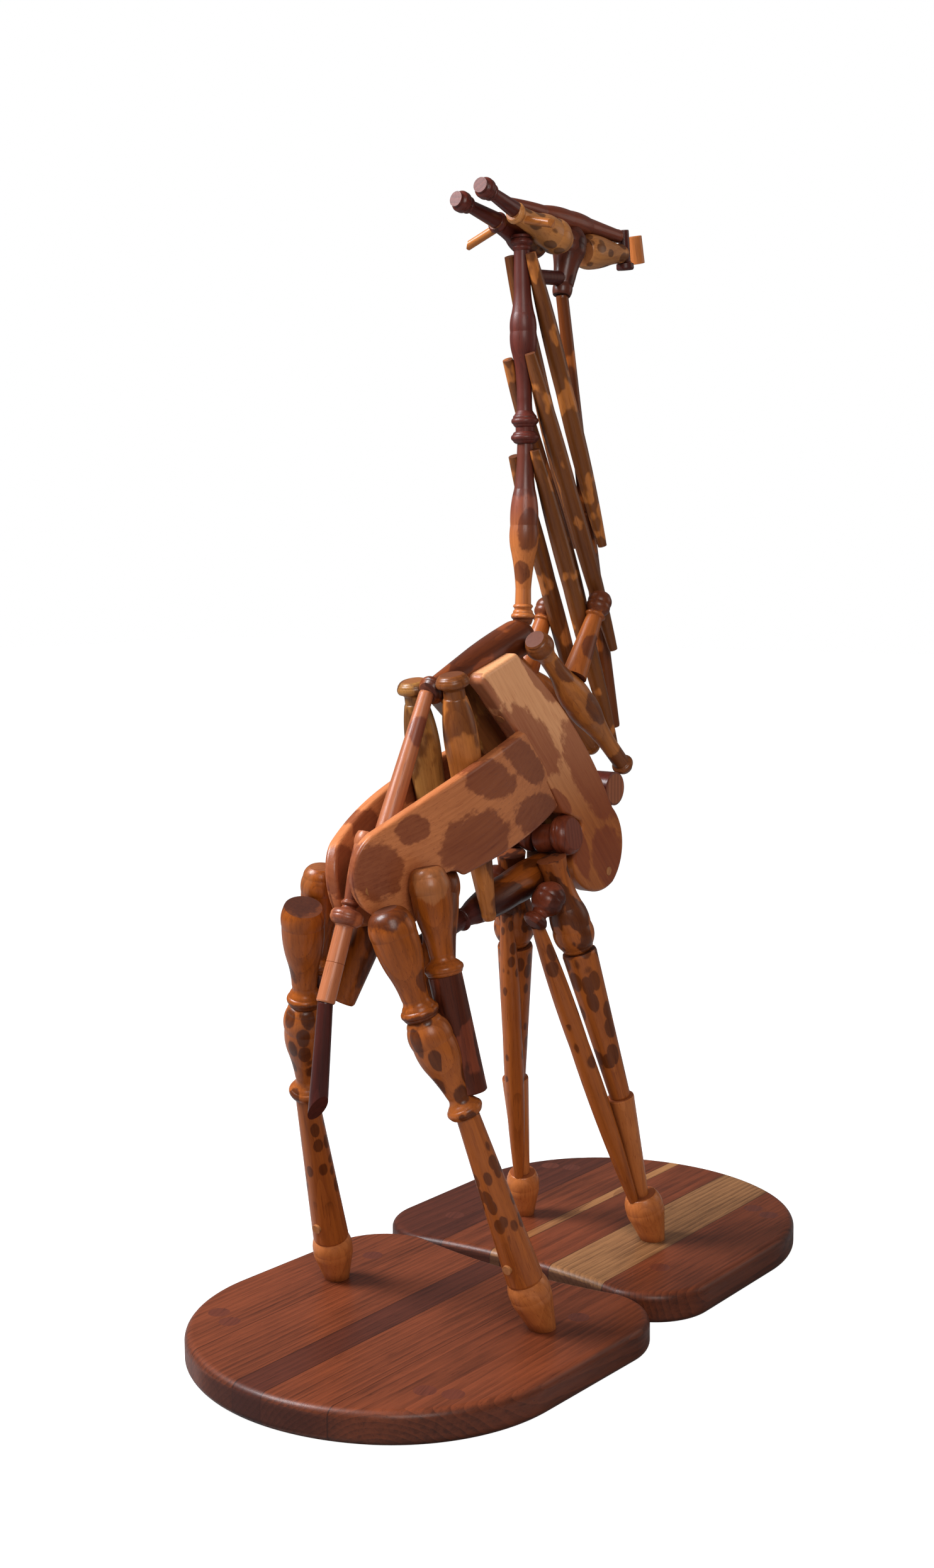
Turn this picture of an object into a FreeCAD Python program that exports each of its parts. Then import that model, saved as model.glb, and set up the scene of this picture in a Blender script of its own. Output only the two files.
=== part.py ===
import FreeCAD, Part
import math
import os

import Sketcher
from FreeCAD import Placement, Rotation, Vector

# Giraffe statue put together from turned furniture parts, standing on two seat boards.
# Millimetres.  +Z is up, +X is the way the giraffe looks, +Y is its left side.
# The origin is on the floor, half way between the two boards.

doc = FreeCAD.newDocument("giraffe_statue")
sheet = doc.addObject("Spreadsheet::Sheet", "Sizes")
sizes = {}
piece = {}
SIDES = {"right": -1, "left": 1}


# ---------------------------------------------------------------- driving dimensions

def cell(alias, value):
    """Write one driving dimension into the next row of the sheet."""
    row = len(sizes) + 1
    sizes[alias] = round(value, 4)
    sheet.set(f"A{row}", alias)
    sheet.set(f"B{row}", str(sizes[alias]))
    sheet.setAlias(f"B{row}", alias)
    return alias


DIMENSIONS = {
    "board_half_width": 231.0,
    "board_thickness": 38.0,
    "board_edge_radius": 10.0,
    "board_pitch": 230.5,
    "board_plug_diameter": 25.0,
    "board_plug_depth": 24.0,
    "flank_half_length": 180.0,
    "flank_thickness": 14.0,
    "flank_bend_radius": 550.0,
    "flank_corner_radius": 9.0,
    "flank_edge_radius": 4.0,
    "shoulder_half_height": 150.0,
    "shoulder_thickness": 24.0,
    "shoulder_face": 36.0,
    "shoulder_corner_radius": 8.0,
    "shoulder_edge_radius": 5.0,
    "dowel_diameter": 8.0,
    "dowel_length": 34.0,
    "screw_diameter": 4.5,
    "screw_head_diameter": 8.5,
    "screw_length": 32.0,
    "plug_diameter": 11.0,
    "plug_depth": 7.0,
}
for alias, size in DIMENSIONS.items():
    cell(alias, size)

# Where the leg pieces meet, from the hip or the shoulder down to the board.
HIND_LEG = {
    "right": {
        "crown": (-248, -64, 566), "haunch": (-242, -84, 450), "rod_end": (-233, -111, 323),
        "hip": (-306, -55, 528), "knee": (-277, -80, 409), "hock": (-243, -114, 301),
        "ankle": (-169, -136, 101), "toe": (-143, -143.5, 37),
    },
    "left": {
        "crown": (-272, 64, 558), "haunch": (-257, 84, 438), "rod_end": (-241, 111, 302),
        "hip": (-314, 55, 529), "knee": (-285, 80, 403), "hock": (-248, 113, 286),
        "ankle": (-184, 136, 96), "toe": (-165, 143.5, 37),
    },
}
FORE_LEG = {
    "right": {
        "shoulder": (36, -30, 536), "elbow": (71, -47, 418), "wrist": (118, -77, 231),
        "ankle": (153, -86, 98), "toe": (171, -93.5, 37),
        "rod_top": (0, -35, 460), "rod_end": (138, -84, 95),
        "knob_ring": (-14, -38, 464), "knob": (25, -46, 507),
    },
    "left": {
        "shoulder": (36, 30, 538), "elbow": (68, 47, 416), "wrist": (109, 77, 232),
        "ankle": (137, 86, 98), "toe": (151, 93.5, 37),
        "rod_top": (34, 35, 462), "rod_end": (126, 84, 96),
        "knob_ring": (-6, 38, 476), "knob": (33, 45, 518),
    },
}


# ---------------------------------------------------------------- turned profiles
# A profile runs from the start of the axis to its end.  Each point is (place along the
# length, part of the largest diameter, bulge of the stretch before it).  A stretch with
# no bulge is straight; a bulge is the arc's rise over its chord, outwards when positive.

def cone(start, end, chamfer=0.03, rim=0.012):
    """Straight taper with a small chamfer at each end."""
    return [(0, start - chamfer, 0), (rim, start, 0), (1 - rim, end, 0), (1, end - chamfer, 0)]


def cigar(start, end, widest=0.5):
    """Slim rod, thickest near its middle, with square-cut ends."""
    return [(0, start, 0), (widest, 1, 0.012), (1, end, 0.012)]


def leg_top(crown, neck, ring):
    """Domed crown, long taper to a neck, and a ring at the lower end."""
    return [(0, crown, 0), (0.09, 0.92, 0.12), (0.24, 1, 0.08), (0.56, 0.5 + neck / 2, 0.035),
            (0.80, neck, -0.03), (0.865, neck + 0.06, -0.12), (0.90, ring - 0.03, 0.05),
            (0.965, ring, 0.25), (1, ring - 0.12, 0.12)]


# Rounded shoulder, slow taper to a waist, and a ring at the lower end.
VASE = [(0, 0.66, 0), (0.06, 0.86, 0.12), (0.25, 1, 0.10), (0.50, 0.86, 0.05),
        (0.78, 0.54, -0.02), (0.865, 0.62, -0.14), (0.90, 0.76, 0.04),
        (0.965, 0.80, 0.22), (1, 0.62, 0.12)]
# Cut top, slight neck and a long bulb rounded off at the lower end.
BULB_LEG = [(0, 0.76, 0), (0.22, 0.68, -0.03), (0.50, 0.86, -0.03), (0.72, 1, 0.06),
            (0.93, 0.82, 0.12), (1, 0.56, 0.10)]
# Small foot: sharp rim, full shoulder and a straight taper.
PEG_FOOT = [(0, 0.78, 0), (0.03, 0.86, 0.1), (0.27, 1, 0.08), (0.42, 0.95, 0.05), (1, 0.53, 0)]
HORN = [(0, 0.74, 0), (0.035, 0.76, 0), (0.05, 0.70, 0), (0.07, 0.86, 0.05), (0.15, 1, 0.16),
        (0.24, 0.80, 0.16), (0.255, 0.66, 0), (0.27, 0.74, 0.1), (0.32, 0.74, 0.3),
        (0.335, 0.60, 0), (1, 0.80, 0)]
FINIAL = [(0, 0.52, 0), (0.03, 0.76, 0.1), (0.13, 0.91, 0.14), (0.22, 0.78, 0.16),
          (0.235, 0.70, 0), (0.25, 0.76, 0.1), (0.285, 0.76, 0.3), (0.295, 0.66, 0), (1, 1, 0)]
BALUSTER = [(0, 0.86, 0), (0.008, 0.92, 0.2), (0.030, 0.92, 0.25), (0.036, 0.80, 0),
            (0.05, 0.64, -0.1), (0.075, 0.62, -0.05), (0.088, 0.72, -0.1), (0.092, 0.76, 0),
            (0.34, 1, 0.05), (0.70, 0.72, 0.03), (1, 0.42, 0)]
WITHERS = [(0, 0.50, 0), (0.035, 0.86, 0.2), (0.10, 1, 0.06), (0.50, 0.88, 0.01),
           (0.93, 0.54, 0), (0.94, 0.62, 0.1), (0.985, 0.62, 0.3), (1, 0.52, 0)]
TAIL = [(0, 0.60, 0), (0.08, 0.66, 0.1), (0.40, 0.42, 0.02), (0.41, 0.49, 0.1),
        (0.432, 0.49, 0.3), (0.44, 0.42, 0), (0.455, 0.52, -0.1), (0.465, 0.86, 0.05),
        (0.50, 1, 0.15), (0.53, 0.92, 0.15), (0.55, 0.62, 0.10), (0.56, 0.55, 0),
        (0.768, 0.56, 0), (0.77, 0.53, 0), (0.772, 0.56, 0), (0.992, 0.57, 0), (1, 0.52, 0)]
POST_TOP = [(0, 0.76, 0), (0.012, 0.80, 0), (0.016, 0.68, 0), (0.022, 0.76, 0.2),
            (0.045, 0.76, 0.3), (0.052, 0.66, 0), (0.060, 0.70, 0.1), (0.075, 0.60, 0.1),
            (0.23, 0.64, 0), (0.37, 0.86, -0.03), (0.46, 1, 0.05), (0.57, 0.86, 0.05),
            (0.78, 0.58, -0.03), (0.84, 0.60, -0.02), (0.86, 0.80, 0), (0.875, 0.90, 0.15),
            (0.905, 0.90, 0.3), (0.92, 0.72, 0.1), (0.94, 0.72, 0), (0.955, 0.95, 0.15),
            (0.985, 0.95, 0.3), (1, 0.70, 0.1)]
POST_LOW = [(0, 0.58, 0), (0.06, 0.60, 0), (0.25, 0.76, -0.02), (0.45, 1, 0.04),
            (0.60, 0.90, 0.05), (0.80, 0.56, -0.02), (0.885, 0.58, 0), (0.89, 0.66, 0.1),
            (0.905, 0.66, 0.3), (0.915, 0.60, 0), (0.935, 0.72, 0.15), (0.97, 0.72, 0.3),
            (1, 0.58, 0.05)]
BREAST_SPINDLE = [(0, 0.62, 0), (0.008, 0.70, 0), (0.012, 0.66, 0), (0.03, 0.82, 0.12),
                  (0.085, 0.76, 0.14), (0.13, 0.56, -0.03), (0.20, 0.58, 0),
                  (0.33, 0.84, -0.03), (0.46, 1, 0.04), (0.60, 0.88, 0.04), (0.80, 0.56, -0.02),
                  (0.95, 0.54, 0), (0.955, 0.60, 0.1), (0.985, 0.60, 0.3), (1, 0.52, 0)]
BALL_POST = [(0, 0.30, 0), (0.08, 0.78, 0.14), (0.25, 1, 0.12), (0.42, 0.92, 0.1),
             (0.72, 0.68, -0.03), (0.84, 0.62, 0), (0.86, 0.58, 0), (0.92, 0.60, 0.05),
             (1, 0.52, 0.05)]
CHEEK = [(0, 0.50, 0), (0.02, 0.58, 0.1), (0.08, 0.60, 0.2), (0.10, 0.56, 0),
         (0.42, 0.74, -0.02), (0.70, 1, 0.06), (0.90, 0.84, 0.14), (1, 0.36, 0.14)]
JAW = [(0, 0.80, 0), (0.05, 0.92, 0.1), (0.20, 1, 0.05), (0.55, 0.78, 0.02),
       (0.86, 0.56, -0.02), (0.96, 0.48, 0.1), (1, 0.30, 0.2)]
BROW = [(0, 0.42, 0), (0.30, 0.72, 0.01), (0.52, 1, 0.03), (0.70, 0.88, 0.03),
        (0.97, 0.66, 0), (1, 0.60, 0.1)]
ELBOW_FINIAL = [(0, 0.40, 0), (0.03, 0.66, 0.1), (0.15, 0.74, 0.25), (0.22, 0.56, 0.1),
                (0.32, 0.56, -0.2), (0.42, 0.84, 0.05), (0.66, 1, 0.14), (0.90, 0.74, 0.16),
                (1, 0.36, 0.06)]
CHEST_PEG = [(0, 0.76, 0), (0.03, 0.84, 0.1), (0.24, 1, 0.14), (0.42, 0.84, 0.16),
             (0.48, 0.66, 0), (0.90, 0.72, 0.02), (1, 0.56, 0.16)]
INNER_THIGH = [(0, 0.50, 0), (0.08, 0.86, 0.18), (0.24, 1, 0.10), (0.50, 0.84, 0.02),
               (0.97, 0.78, 0), (1, 0.70, 0.1)]
BELLY_BAR = [(0, 0.80, 0), (0.01, 0.86, 0), (0.30, 1, 0.03), (0.55, 0.72, 0.03),
             (0.62, 0.52, -0.03), (0.625, 0.60, 0.1), (0.64, 0.60, 0.3), (0.645, 0.50, 0),
             (1, 0.44, 0.01)]
FLARED_DOWEL = [(0, 0.58, 0), (0.03, 0.62, 0.1), (0.78, 0.66, 0), (0.84, 0.98, -0.1),
                (0.95, 1, 0), (1, 0.86, 0.1)]
ROUNDED_TOP = [(0, 0.72, 0), (0.06, 0.94, 0.15), (0.14, 1, 0.05), (0.97, 1, 0), (1, 0.94, 0.1)]
PLAIN_ROD = cone(1, 1, 0.10)
DOWEL = cone(1, 1, 0.25, 0.05)


ELBOW_ROD = cigar(0.64, 0.50, 0.42)
NECK_ROD = cigar(0.58, 0.52, 0.45)


# ---------------------------------------------------------------- bound outlines

def body_plane(body, role):
    return next(f for f in body.Origin.OriginFeatures if f.Role == role)


def arc_centre(first, last, bulge):
    chord = last - first
    rise = bulge * chord.Length
    radius = (chord.Length ** 2 / 4 + rise ** 2) / (2 * rise)
    inward = Vector(-chord.y, chord.x, 0).normalize()
    return (first + last) * 0.5 + inward * (radius - rise), abs(radius)


def edge_between(first, last, bulge):
    """A line, or an arc that rises to the right of the way from first to last."""
    if not bulge:
        return Part.LineSegment(first, last), 1
    centre, radius = arc_centre(first, last, bulge)
    begin, finish = (first, last) if bulge > 0 else (last, first)
    angles = [math.atan2(p.y - centre.y, p.x - centre.x) for p in (begin, finish)]
    if angles[1] < angles[0]:
        angles[1] += 2 * math.pi
    circle = Part.Circle(centre, Vector(0, 0, 1), radius)
    return Part.ArcOfCircle(circle, *angles), 1 if bulge > 0 else 2


def bound_sketch(body, name, role, points, x_cell, y_cell):
    """Closed outline through (x part, y part, bulge) points, all tied to two sheet cells."""
    sketch = body.newObject("Sketcher::SketchObject", name)
    sketch.AttachmentSupport = (body_plane(body, role), [""])
    sketch.MapMode = "FlatFace"
    corners = [Vector(x * sizes[x_cell], y * sizes[y_cell], 0) for x, y, _ in points]
    edges, starts = [], []
    for index, first in enumerate(corners):
        following = (index + 1) % len(corners)
        edge, start = edge_between(first, corners[following], points[following][2])
        edges.append(edge)
        starts.append(start)
    sketch.addGeometry(edges, False)
    rules, bound = [], {}

    def rule(formula, *terms):
        if formula:
            bound[len(rules)] = formula
        rules.append(Sketcher.Constraint(*terms))

    for index, (x, y, _) in enumerate(points):
        following = (index + 1) % len(points)
        rule(None, "Coincident", index, 3 - starts[index], following, starts[following])
        for kind, part, alias, axis in (("DistanceX", x, x_cell, -2), ("DistanceY", y, y_cell, -1)):
            here, origin = (index, starts[index]), (-1, 1)
            if part == 0:
                rule(None, "PointOnObject", *here, axis)
                continue
            ends = origin + here if part > 0 else here + origin
            rule(f"Sizes.{alias} * {abs(part):.5f}", kind, *ends, abs(part) * sizes[alias])
        x_next, y_next, bulge = points[following]
        if bulge:
            growth = (1 + 4 * bulge ** 2) / (8 * abs(bulge))
            run = f"(Sizes.{x_cell} * {x_next - x:.5f})^2 + (Sizes.{y_cell} * {y_next - y:.5f})^2"
            _, radius = arc_centre(corners[index], corners[following], bulge)
            rule(f"sqrt({run}) * {growth:.6f}", "Radius", index, radius)
    sketch.addConstraint(rules)
    for index, formula in bound.items():
        sketch.setExpression(f"Constraints[{index}]", formula)
    return sketch


# ---------------------------------------------------------------- ways of making a piece

def place_along(feature, start, end):
    """Put the feature's own Z axis on the line from start to end."""
    start, end = Vector(*start), Vector(*end)
    feature.Placement = Placement(start, Rotation(Vector(0, 0, 1), end - start))


def turned(name, profile, start, end, diameter):
    """A lathe-turned piece from start to end, its length and diameter kept in the sheet."""
    length = cell(f"{name}_length", (Vector(*end) - Vector(*start)).Length)
    widest = cell(f"{name}_diameter", diameter)
    body = doc.addObject("PartDesign::Body", f"{name}_body")
    outline = [(0, 0, 0)] + [(part / 2, at, bulge) for at, part, bulge in profile] + [(0, 1, 0)]
    sketch = bound_sketch(body, f"{name}_profile", "XZ_Plane", outline, widest, length)
    spin = body.newObject("PartDesign::Revolution", f"{name}_turning")
    spin.Profile = sketch
    spin.ReferenceAxis = (sketch, ["V_Axis"])
    spin.Angle = 360
    place_along(body, start, end)
    piece[name] = body
    return body


def fit(name, *neighbours):
    """Cut a piece where it is let in against its neighbours, which stay whole."""
    for neighbour in neighbours:
        cut = doc.addObject("Part::Cut", f"{name}_against_{neighbour}")
        cut.Base = piece[name]
        cut.Tool = piece[neighbour]
        piece[name] = cut


def group(name, *members):
    """Several separate solids of one kind, kept together under one name."""
    compound = doc.addObject("Part::Compound", f"{name}_group")
    compound.Links = [piece.pop(member) for member in members]
    piece[name] = compound


def saw_off(name, at, facing):
    """Cut a piece with a plane through a point; what lies on the facing side goes."""
    waste = doc.addObject("Part::Box", f"{name}_waste")
    waste.Length = waste.Width = waste.Height = SAW_REACH
    turn = Rotation(Vector(0, 0, 1), Vector(*facing))
    corner = turn.multVec(Vector(-SAW_REACH / 2, -SAW_REACH / 2, 0))
    waste.Placement = Placement(Vector(*at) + corner, turn)
    cut = doc.addObject("Part::Cut", f"{name}_sawn")
    cut.Base = piece[name]
    cut.Tool = waste
    piece[name] = cut


def beyond(start, end, extra):
    """The point that lies past the end of the line from start to end."""
    start, end = Vector(*start), Vector(*end)
    return tuple(end + (end - start).normalize() * extra)


SAW_REACH = 120.0
PLUG_PROUD = 0.4
JOINT_LAP = 1.5


def dowel(name, joint, heading, *members):
    """A glued dowel centred on a joint, with its hole in every member that it ties."""
    half = Vector(*heading).normalize() * (sizes["dowel_length"] / 2)
    peg = doc.addObject("Part::Cylinder", name)
    peg.setExpression("Radius", "Sizes.dowel_diameter / 2")
    peg.setExpression("Height", "Sizes.dowel_length")
    place_along(peg, tuple(Vector(*joint) - half), tuple(Vector(*joint) + half))
    piece[name] = peg
    for member in members:
        fit(member, name)


def screw(name, head, heading, length, *members):
    """A countersunk wood screw: cone head and plain shank, with its hole in the members."""
    shank = doc.addObject("Part::Cylinder", f"{name}_shank")
    shank.setExpression("Radius", "Sizes.screw_diameter / 2")
    shank.Height = length
    cap = doc.addObject("Part::Cone", f"{name}_head")
    cap.setExpression("Radius1", "Sizes.screw_head_diameter / 2")
    cap.setExpression("Radius2", "Sizes.screw_diameter / 2")
    cap.setExpression("Height", "Sizes.screw_head_diameter / 2")
    whole = doc.addObject("Part::Fuse", f"{name}_whole")
    whole.Base, whole.Tool = cap, shank
    place_along(whole, head, tuple(Vector(*head) + Vector(*heading)))
    piece[name] = whole
    for member in members:
        fit(member, name)


def plug(name, face, inward, depth, *members):
    """A small wooden plug sunk into a face, with its socket in the members."""
    disc = doc.addObject("Part::Cylinder", name)
    disc.setExpression("Radius", "Sizes.plug_diameter / 2")
    disc.Height = depth + PLUG_PROUD
    outside = Vector(*face) - Vector(*inward).normalize() * PLUG_PROUD
    place_along(disc, tuple(outside), tuple(outside + Vector(*inward)))
    piece[name] = disc
    for member in members:
        fit(member, name)


# ---------------------------------------------------------------- boards

def seat_board():
    """Seat outline over its half width: bowed outer end, square corners at the joint."""
    half = [(0.844, 0.541, 0.132), (0.043, 1, 0.138), (-0.65, 1, 0), (-1, 0.65, 0.207)]
    mirrored = [(-1, -0.65, -0.053), (-0.65, -1, 0.207), (0.043, -1, 0), (0.844, -0.541, 0.138)]
    return half + mirrored


BOARD_PLUGS = [(0.45, 0.753), (0.498, 0.628), (-0.606, 0.68)]


def make_board(name, centre, heading):
    body = doc.addObject("PartDesign::Body", f"{name}_body")
    width = "board_half_width"
    sketch = bound_sketch(body, f"{name}_outline", "XY_Plane", seat_board(), width, width)
    pad = body.newObject("PartDesign::Pad", f"{name}_slab")
    pad.Profile = sketch
    pad.setExpression("Length", "Sizes.board_thickness")
    doc.recompute()
    rim = [f"Edge{i + 1}" for i, edge in enumerate(pad.Shape.Edges) if is_level(edge)]
    fillet = body.newObject("PartDesign::Fillet", f"{name}_edge")
    fillet.Base = (pad, rim)
    fillet.setExpression("Radius", "Sizes.board_edge_radius")
    body.Placement = Placement(Vector(*centre), Rotation(Vector(0, 0, 1), heading))
    piece[name] = body
    return board_plugs(name, body.Placement)


def is_level(edge):
    return edge.BoundBox.ZLength < 0.001


def board_plugs(board, placement):
    """Plugs that fill the old leg sockets of a seat board, flush with its top."""
    names = []
    half = sizes["board_half_width"]
    level = sizes["board_thickness"] - sizes["board_plug_depth"]
    for x, y in BOARD_PLUGS:
        for side in SIDES.values():
            name = f"{board}_plug_{len(names) + 1}"
            plug = doc.addObject("Part::Cylinder", name)
            plug.setExpression("Radius", "Sizes.board_plug_diameter / 2")
            plug.setExpression("Height", "Sizes.board_plug_depth")
            plug.Placement = placement.multiply(Placement(
                Vector(x * half, side * y * half, level), Rotation()))
            piece[name] = plug
            fit(board, name)
            names.append(name)
    return names


plugs = make_board("front_board", (sizes["board_pitch"], 5, 0), 0)
plugs += make_board("hind_board", (-sizes["board_pitch"], 3, 0), 180 - 1.9)
group("board_plugs", *plugs)


# ---------------------------------------------------------------- curved flanks and shoulders

FLANK_OUTLINE = [(1.045, -0.449, 0), (0.710, 0.195, 0), (0.640, 0.252, 0.18),
                 (-0.894, 0.261, 0.03), (-1.009, -0.233, 0.32), (-0.756, -0.389, 0.06),
                 (-0.535, -0.256, 0.16), (-0.251, -0.294, -0.22)]
FLANK_BEND_CENTRE = 5.0
FLANK_SLOPE = 19.3
FLANK_PLACE = {"right": (-150, -61, 610), "left": (-131, 61, 595)}
FLANK_REACH = 300.0
FLANK_END_SLANT = 0.5
ACROSS_MIN_RISE = 9
ACROSS_MAX_LENGTH = 24


def make_flank(side):
    """Chair crest rail: a plank bent in plan, with a shaped outline and rounded edges."""
    name = f"{side}_flank_board"
    inward = -SIDES[side]
    bent = doc.addObject("Part::Cylinder", f"{name}_outer_bend")
    bent.setExpression("Radius", "Sizes.flank_bend_radius")
    hollow = doc.addObject("Part::Cylinder", f"{name}_inner_bend")
    hollow.setExpression("Radius", "Sizes.flank_bend_radius - Sizes.flank_thickness")
    for cylinder in (bent, hollow):
        cylinder.Height = 2 * FLANK_REACH
        centre = Vector(FLANK_BEND_CENTRE, inward * sizes["flank_bend_radius"], -FLANK_REACH)
        cylinder.Placement = Placement(centre, Rotation())
    band = doc.addObject("Part::Cut", f"{name}_band")
    band.Base, band.Tool = bent, hollow
    body = doc.addObject("PartDesign::Body", f"{name}_body")
    length = "flank_half_length"
    sketch = bound_sketch(body, f"{name}_outline", "XZ_Plane", FLANK_OUTLINE, length, length)
    pad = body.newObject("PartDesign::Pad", f"{name}_prism")
    pad.Profile = sketch
    pad.Midplane = True
    pad.UseCustomVector = True
    pad.Direction = Vector(FLANK_END_SLANT, inward, 0)
    pad.AlongSketchNormal = True
    pad.Length = FLANK_REACH
    shaped = doc.addObject("Part::Common", f"{name}_shaped")
    shaped.Base, shaped.Tool = band, body
    corners = rounded_edges(f"{name}_corners", shaped, "flank_corner_radius",
                            crosses_thickness)
    rims = rounded_edges(f"{name}_rims", corners, "flank_edge_radius",
                         lambda edge: not crosses_thickness(edge))
    rims.Placement = Placement(Vector(*FLANK_PLACE[side]),
                               Rotation(Vector(0, 1, 0), -FLANK_SLOPE))
    piece[name] = rims


def crosses_thickness(edge):
    """True for the short edges that run through a bent board from face to face."""
    return edge.BoundBox.YLength > ACROSS_MIN_RISE and edge.Length < ACROSS_MAX_LENGTH


def rounded_edges(name, base, radius_cell, chosen):
    """Fillet of the chosen edges of a shape."""
    doc.recompute()
    fillet = doc.addObject("Part::Fillet", name)
    fillet.Base = base
    radius = sizes[radius_cell]
    fillet.Edges = [(i + 1, radius, radius) for i, edge in enumerate(base.Shape.Edges)
                    if chosen(edge)]
    return fillet


SHOULDER_OUTLINE = [(-0.90, 0.94, 0), (0.247, -0.207, -0.02), (0.567, -0.333, 0),
                    (0.493, -0.82, 0.30), (0.967, -0.867, 0.15), (0.96, -0.227, 0.24),
                    (-0.407, 1.107, 0.06)]
SHOULDER_CENTRE = (20, 620)
SHOULDER_PIVOT = Vector(110, 0, -130)
SHOULDER_TILT = {"right": 0, "left": -4}


def make_shoulder(side):
    """Curved arm-like board that carries the neck and the fore leg on one side."""
    name = f"{side}_shoulder_board"
    body = doc.addObject("PartDesign::Body", f"{name}_body")
    height = "shoulder_half_height"
    sketch = bound_sketch(body, f"{name}_outline", "XZ_Plane", SHOULDER_OUTLINE, height, height)
    pad = body.newObject("PartDesign::Pad", f"{name}_slab")
    pad.Profile = sketch
    pad.setExpression("Length", "Sizes.shoulder_thickness")
    pad.Reversed = side == "right"
    corners = body.newObject("PartDesign::Fillet", f"{name}_corners")
    doc.recompute()
    across = [f"Edge{i + 1}" for i, edge in enumerate(pad.Shape.Edges) if edge.BoundBox.YLength > 1]
    corners.Base = (pad, across)
    corners.setExpression("Radius", "Sizes.shoulder_corner_radius")
    doc.recompute()
    rim = [f"Edge{i + 1}" for i, edge in enumerate(corners.Shape.Edges)
           if edge.BoundBox.YLength < 0.001]
    fillet = body.newObject("PartDesign::Fillet", f"{name}_edge")
    fillet.Base = (corners, rim)
    fillet.setExpression("Radius", "Sizes.shoulder_edge_radius")
    x, z = SHOULDER_CENTRE
    tilt = Rotation(Vector(0, 1, 0), SHOULDER_TILT[side])
    centre = Vector(x, SIDES[side] * sizes["shoulder_face"], z)
    body.Placement = Placement(centre, tilt, SHOULDER_PIVOT)
    piece[name] = body
    x_part, z_part, _ = SHOULDER_OUTLINE[1]
    low_corner = Vector(x_part * sizes[height], 0, z_part * sizes[height])
    rear_edge = body.Placement.multVec(low_corner)
    saw_off(f"{side}_flank_board", rear_edge, tilt.multVec(Vector(1, 0, 1)))


for side in SIDES:
    make_flank(side)
    make_shoulder(side)


# ---------------------------------------------------------------- body frame

turned("withers_spindle", WITHERS, (23, 0, 805), (-162, 0, 746), 45)
turned("rump_rod", cone(0.65, 1, 0.06, 0.01), (-164, 0, 746), (-265, 0, 546), 26)
turned("belly_bar", BELLY_BAR, (74, 0, 521), (-207, 0, 456), 42)
turned("hip_spreader", PLAIN_ROD, (-208, -52, 462), (-208, 52, 462), 20)
turned("chest_bar", PLAIN_ROD, (168, -36, 608), (168, 36, 608), 42)
for side in SIDES:
    fit(f"{side}_shoulder_board", "withers_spindle", "chest_bar")
fit("rump_rod", "withers_spindle", "left_flank_board", "right_flank_board")
fit("hip_spreader", "belly_bar")

TAIL_ROOT, TAIL_END, TAIL_TIP = (-268, 0, 600), (-341, 0, 427), (-355, 0, 316)
turned("tail_spindle", TAIL, TAIL_ROOT, TAIL_END, 36)
TAIL_SAW_WASTE = 18.0
turned("tail_tip", cone(0.77, 1, 0.04, 0.01), beyond(TAIL_TIP, TAIL_END, JOINT_LAP),
       beyond(TAIL_END, TAIL_TIP, TAIL_SAW_WASTE), 21.5)
fit("tail_spindle", "rump_rod")
fit("tail_tip", "tail_spindle")
saw_off("tail_tip", TAIL_TIP, (-0.30, -0.79, -0.57))

RIBS = {"right": ((-158, -30, 767), (-89, -30, 481)), "left": ((-152, 30, 758), (-83, 30, 473))}
RIB = [(0, 0.66, 0), (0.01, 0.86, 0.1), (0.02, 0.95, 0.1), (0.045, 0.95, 0.15), (0.06, 0.64, -0.1),
       (0.09, 0.66, 0), (0.10, 0.74, 0.1), (0.34, 1, 0.04), (0.97, 0.44, 0.01), (1, 0.36, 0.1)]
for side, (cap, low) in RIBS.items():
    turned(f"{side}_rib", RIB, cap, low, 38)
    fit(f"{side}_rib", "withers_spindle", "rump_rod", f"{side}_flank_board", "belly_bar")


# ---------------------------------------------------------------- hind legs

INNER_THIGH_ENDS = {"right": ((-171, -21.4, 561), (-231, -67, 400)),
                    "left": ((-183, 21.4, 561), (-241, 67, 401))}


def leg_chain(side, stations, parts):
    """Turned pieces end to end; each one is cut where it meets the piece above it."""
    above = None
    for name, profile, top, bottom, diameter in parts:
        start, end = stations[top], stations[bottom]
        if above:
            start = beyond(end, start, JOINT_LAP)
        if bottom == "toe":
            end = beyond(start, end, TOE_REACH)
        turned(f"{side}_{name}", profile, start, end, diameter)
        if above:
            fit(f"{side}_{name}", f"{side}_{above}")
        above = name


def leg_dowels(side, stations, joints):
    """One dowel at each joint, along the mean of the two pieces' axes."""
    for before, joint, after, first, second in joints:
        here = Vector(*stations[joint])
        lean = (here - Vector(*stations[before])).normalize()
        lean += (Vector(*stations[after]) - here).normalize()
        name = f"{side}_{second}_dowel"
        dowel(name, tuple(here), tuple(lean), f"{side}_{first}", f"{side}_{second}")
        joint_dowels.append(name)


def foot_screw(side, foot, board, toe):
    """A screw that holds a foot from under the board, its head flush with the underside."""
    name = f"{side}_{foot}_screw"
    screw(name, (toe[0], toe[1], 0), (0, 0, 1), FOOT_SCREW_LENGTH, f"{side}_{foot}", board)
    screws.append(name)


TOE_REACH = 8.0
FOOT_SCREW_LENGTH = 64.0
joint_dowels = []
screws = []

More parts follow.
